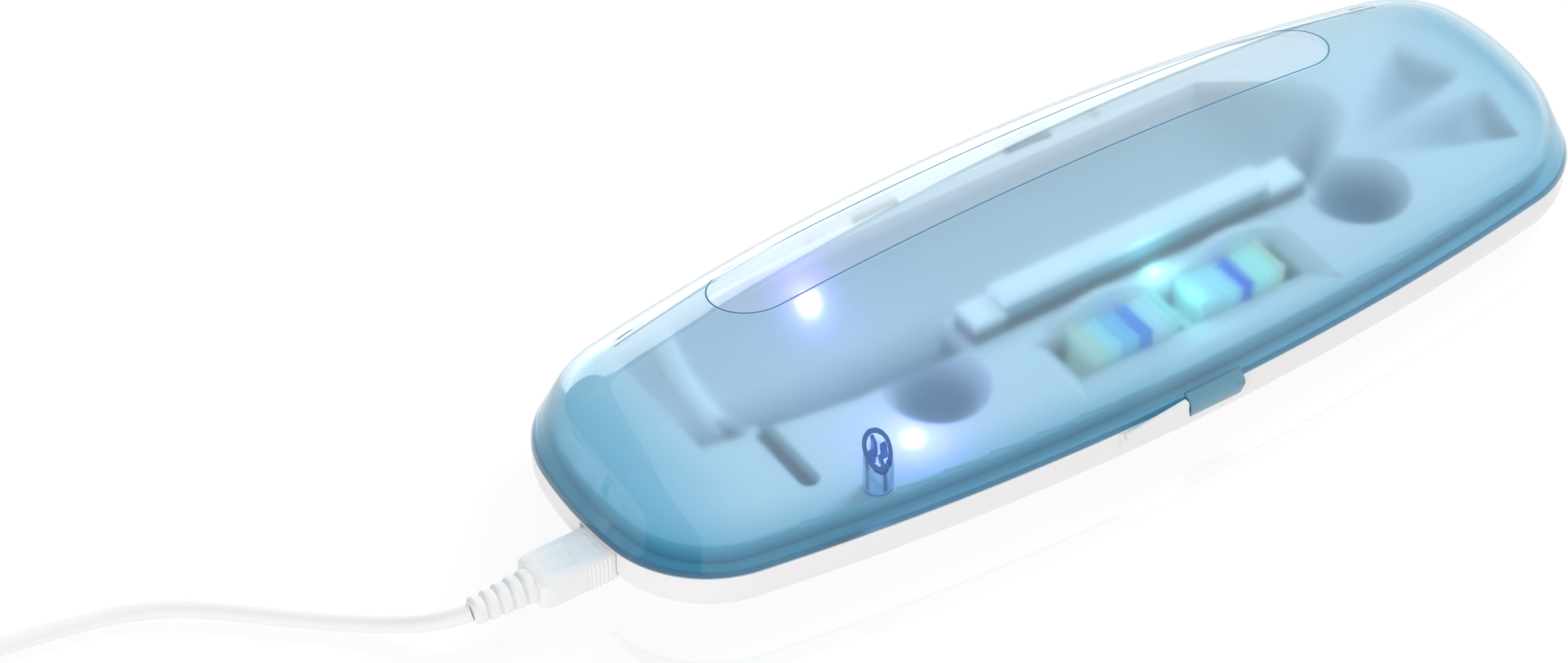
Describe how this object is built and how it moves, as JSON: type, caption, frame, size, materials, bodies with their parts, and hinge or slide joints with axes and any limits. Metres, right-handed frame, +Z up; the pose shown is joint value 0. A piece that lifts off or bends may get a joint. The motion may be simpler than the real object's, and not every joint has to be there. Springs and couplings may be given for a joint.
{
  "type": "toothbrush sanitizer case",
  "caption": "Long rounded travel case with a hinged translucent lid over a moulded tray, an ultraviolet lamp bar, two brush heads and a USB lead.",
  "frame": {"origin": "on the surface that the feet stand on, under the middle of the case", "axes": "+X along the case away from the USB socket, +Y towards the hinge, +Z up"},
  "size_m": [0.389, 0.1465, 0.0371],
  "materials": {
    "tinted_lid": "clear blue polycarbonate, glossy outside, fine texture inside",
    "case_white": "satin moulded ABS",
    "tray_white": "satin moulded tray",
    "steel": "bright drawn steel",
    "lamp_glass": "quartz tube",
    "cap_rubber": "grey silicone rubber",
    "bright_sheet": "polished sheet",
    "board_green": "solder mask",
    "ferrite": "sintered ferrite",
    "copper": "enamelled copper wire",
    "chip_black": "moulded epoxy",
    "plated_steel": "nickel plate",
    "led_clear": "clear epoxy lens",
    "head_white": "moulded brush head",
    "bristle": "nylon tufts",
    "lead_white": "soft white PVC",
    "tie_grey": "wire twist tie"
  },
  "bodies": {
    "base": {"base_shell": "case_white", "board_screws": "steel", "bristles_left": "bristle", "bristles_right": "bristle", "brush_head_left": "head_white", "brush_head_right": "head_white", "cable_coil": "lead_white", "cable_run": "lead_white", "cable_tail": "lead_white", "cable_tie": "tie_grey", "capacitors": "chip_black", "case_screws": "steel", "circuit_board": "board_green", "hinge_pin": "steel", "inner_tray": "tray_white", "interlock_switch": "chip_black", "inverter_core": "ferrite", "inverter_winding": "copper", "lamp_cap_left": "cap_rubber", "lamp_cap_right": "cap_rubber", "lamp_housing": "case_white", "lamp_reflector": "bright_sheet", "led_back": "led_clear", "led_front": "led_clear", "rubber_feet": "cap_rubber", "strain_relief": "lead_white", "timer_chip": "chip_black", "usb_a_plug": "lead_white", "usb_a_relief": "lead_white", "usb_a_shell": "plated_steel", "usb_plug": "lead_white", "usb_plug_tip": "plated_steel", "usb_socket": "plated_steel", "uv_lamp_tube": "lamp_glass"},
    "lid": {"lid_shell": "tinted_lid"},
    "plunger": {"interlock_plunger": "tray_white"}
  },
  "joints": [
    {"name": "lid_hinge", "type": "hinge", "parent": "base", "child": "lid", "pos_m": [0, 0.0396, 0.0084], "axis": [-1, 0, 0], "range_deg": [0, 105]},
    {"name": "interlock_press", "type": "slide", "parent": "base", "child": "plunger", "axis": [0, 0, -1], "range_m": [0, 0.0012], "stiffness_N_per_m": 150, "springref_m": -0.0005}
  ]
}
